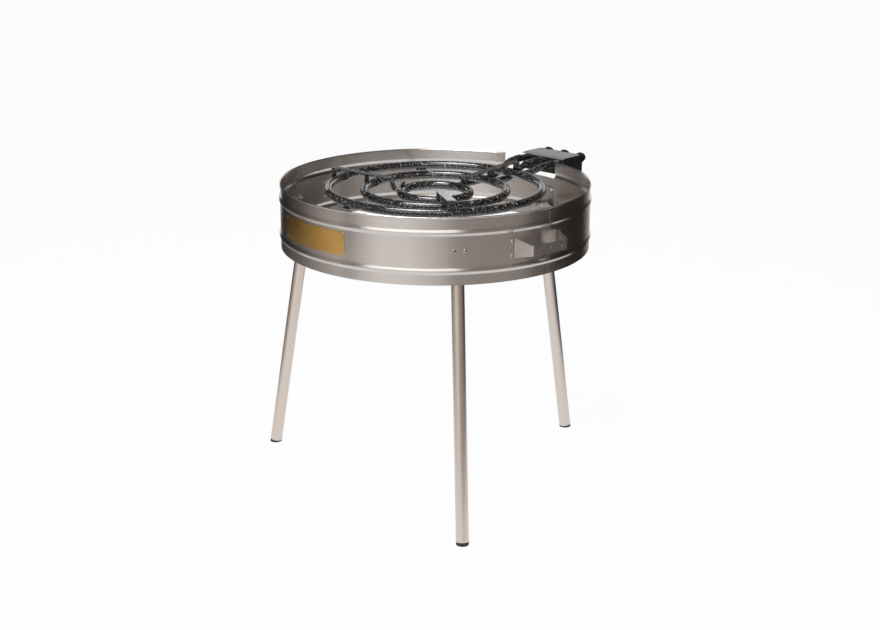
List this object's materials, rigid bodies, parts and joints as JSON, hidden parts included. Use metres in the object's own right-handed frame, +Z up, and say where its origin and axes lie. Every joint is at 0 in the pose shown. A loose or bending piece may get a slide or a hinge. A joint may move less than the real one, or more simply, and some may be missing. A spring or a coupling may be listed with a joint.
{
  "type": "round gas burner stand",
  "caption": "Round steel wind guard on splayed tube legs with a ring gas burner, pan supports and a tap box, for cooking in a wide pan outdoors.",
  "frame": {"origin": "on the floor, under the middle of the outline, which takes in the control box at the back", "axes": "+Z up, -Y towards the nameplate at the front, +X to the right seen from the front"},
  "size_m": [0.779, 0.8295, 0.711],
  "materials": {
    "stainless_sheet": "brushed stainless sheet with a long horizontal grain",
    "leg_tube": "satin ground stainless tube",
    "foot_cap": "matt black cap",
    "fasteners": "bright zinc plated steel",
    "nameplate_gold": "satin gold plate, bare",
    "speckled_enamel": "gloss black enamel with fine white speckles",
    "black_paint": "semi-gloss black paint",
    "galvanised_sheet": "dull galvanised sheet",
    "valve_brass": "machined brass",
    "knob_plastic": "matt black plastic"
  },
  "bodies": {
    "stand": {"drum_shell": "stainless_sheet", "nameplate": "nameplate_gold", "nameplate_rivets": "fasteners", "right_handle": "stainless_sheet", "left_handle": "stainless_sheet", "handle_screws": "fasteners", "handle_nuts": "fasteners", "bracket_screws": "fasteners", "bracket_nuts": "fasteners", "leg_bracket_front_right": "stainless_sheet", "leg_bracket_front_left": "stainless_sheet", "leg_bracket_rear": "stainless_sheet", "leg_socket_front_right": "stainless_sheet", "leg_socket_front_left": "stainless_sheet", "leg_socket_rear": "stainless_sheet", "burner_rest_front": "stainless_sheet", "burner_rest_rear_right": "stainless_sheet", "burner_rest_rear_left": "stainless_sheet"},
    "leg_front_right_body": {"leg_front_right": "leg_tube", "foot_front_right": "foot_cap"},
    "leg_front_left_body": {"leg_front_left": "leg_tube", "foot_front_left": "foot_cap"},
    "leg_rear_body": {"leg_rear": "leg_tube", "foot_rear": "foot_cap"},
    "burner": {"outer_ring": "speckled_enamel", "middle_ring": "speckled_enamel", "inner_ring": "speckled_enamel", "ring_pins": "speckled_enamel", "feed_tube_inner": "speckled_enamel", "feed_tube_middle": "speckled_enamel", "feed_tube_outer": "speckled_enamel", "air_collar_inner": "black_paint", "air_collar_middle": "black_paint", "air_collar_outer": "black_paint", "pan_support_front_right": "speckled_enamel", "pan_support_front_left": "speckled_enamel", "pan_support_rear": "speckled_enamel", "control_box": "black_paint", "control_cover": "galvanised_sheet", "cover_screws": "fasteners", "gas_manifold": "valve_brass", "gas_inlet": "valve_brass", "manifold_plug": "valve_brass", "valve_nuts": "valve_brass", "valve_body_inner": "valve_brass", "valve_body_middle": "valve_brass", "valve_body_outer": "valve_brass", "injector_inner": "valve_brass", "injector_middle": "valve_brass", "injector_outer": "valve_brass"},
    "tap_inner": {"valve_plug_inner": "valve_brass"},
    "knob_inner_body": {"knob_inner": "knob_plastic", "valve_stem_inner": "valve_brass"},
    "tap_middle": {"valve_plug_middle": "valve_brass"},
    "knob_middle_body": {"knob_middle": "knob_plastic", "valve_stem_middle": "valve_brass"},
    "tap_outer": {"valve_plug_outer": "valve_brass"},
    "knob_outer_body": {"knob_outer": "knob_plastic", "valve_stem_outer": "valve_brass"}
  },
  "joints": [
    {"name": "leg_front_right_pull", "type": "slide", "parent": "stand", "child": "leg_front_right_body", "axis": [0.1437, -0.083, -0.9861], "range_m": [0, 0.06]},
    {"name": "leg_front_left_pull", "type": "slide", "parent": "stand", "child": "leg_front_left_body", "axis": [-0.1437, -0.083, -0.9861], "range_m": [0, 0.06]},
    {"name": "leg_rear_pull", "type": "slide", "parent": "stand", "child": "leg_rear_body", "axis": [0, 0.1659, -0.9861], "range_m": [0, 0.06]},
    {"name": "burner_lift", "type": "slide", "parent": "stand", "child": "burner", "axis": [0, 0, 1], "range_m": [0, 0.2]},
    {"name": "tap_inner_turn", "type": "hinge", "parent": "burner", "child": "tap_inner", "pos_m": [-0.11429, 0.36437, 0.6885], "axis": [-0.1478, 0.989, 0], "range_deg": [0, 180]},
    {"name": "knob_inner_push", "type": "slide", "parent": "tap_inner", "child": "knob_inner_body", "axis": [0.1478, -0.989, 0], "range_m": [0, 0.0035], "stiffness_N_per_m": 400, "springref_m": -0.002},
    {"name": "tap_middle_turn", "type": "hinge", "parent": "burner", "child": "tap_middle", "pos_m": [-0.06484, 0.37176, 0.6885], "axis": [-0.1478, 0.989, 0], "range_deg": [0, 180]},
    {"name": "knob_middle_push", "type": "slide", "parent": "tap_middle", "child": "knob_middle_body", "axis": [0.1478, -0.989, 0], "range_m": [0, 0.0035], "stiffness_N_per_m": 400, "springref_m": -0.002},
    {"name": "tap_outer_turn", "type": "hinge", "parent": "burner", "child": "tap_outer", "pos_m": [-0.01539, 0.37915, 0.6885], "axis": [-0.1478, 0.989, 0], "range_deg": [0, 180]},
    {"name": "knob_outer_push", "type": "slide", "parent": "tap_outer", "child": "knob_outer_body", "axis": [0.1478, -0.989, 0], "range_m": [0, 0.0035], "stiffness_N_per_m": 400, "springref_m": -0.002}
  ]
}
